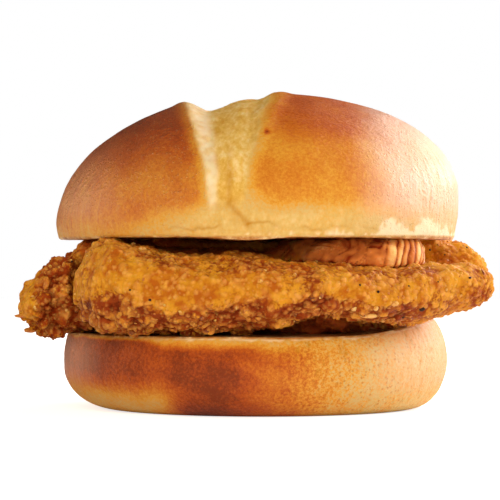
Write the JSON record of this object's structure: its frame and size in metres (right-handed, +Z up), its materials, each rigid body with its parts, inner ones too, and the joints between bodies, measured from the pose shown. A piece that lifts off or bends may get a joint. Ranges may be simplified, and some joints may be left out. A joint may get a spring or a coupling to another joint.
{
  "type": "chicken burger",
  "caption": "Chicken burger: breaded fried chicken strips that reach out past both sides of a soft split-top bun, cut into a domed crown and a thick heel.",
  "frame": {"origin": "below the middle of the whole burger, on the plane that the heel's flat underside rests on", "axes": "+X along the chicken strips, towards the viewer's right; +Y from the front to the back; +Z up"},
  "size_m": [0.1274, 0.1098, 0.0851],
  "materials": {
    "heel_bread": "soft baked crust, satin, brown on the front and golden to the sides, with fine pale specks",
    "breading": "fried batter crust, craggy, golden brown, faintly oily, with dark pepper specks",
    "crown_bread": "soft baked crust, satin, brown on the dome, pale yellow in the split and round the lower edge"
  },
  "bodies": {
    "root": {"bun_heel": "heel_bread", "chicken_strip_front": "breading", "chicken_strip_middle": "breading", "chicken_strip_back": "breading", "bun_crown": "crown_bread"}
  },
  "joints": []
}
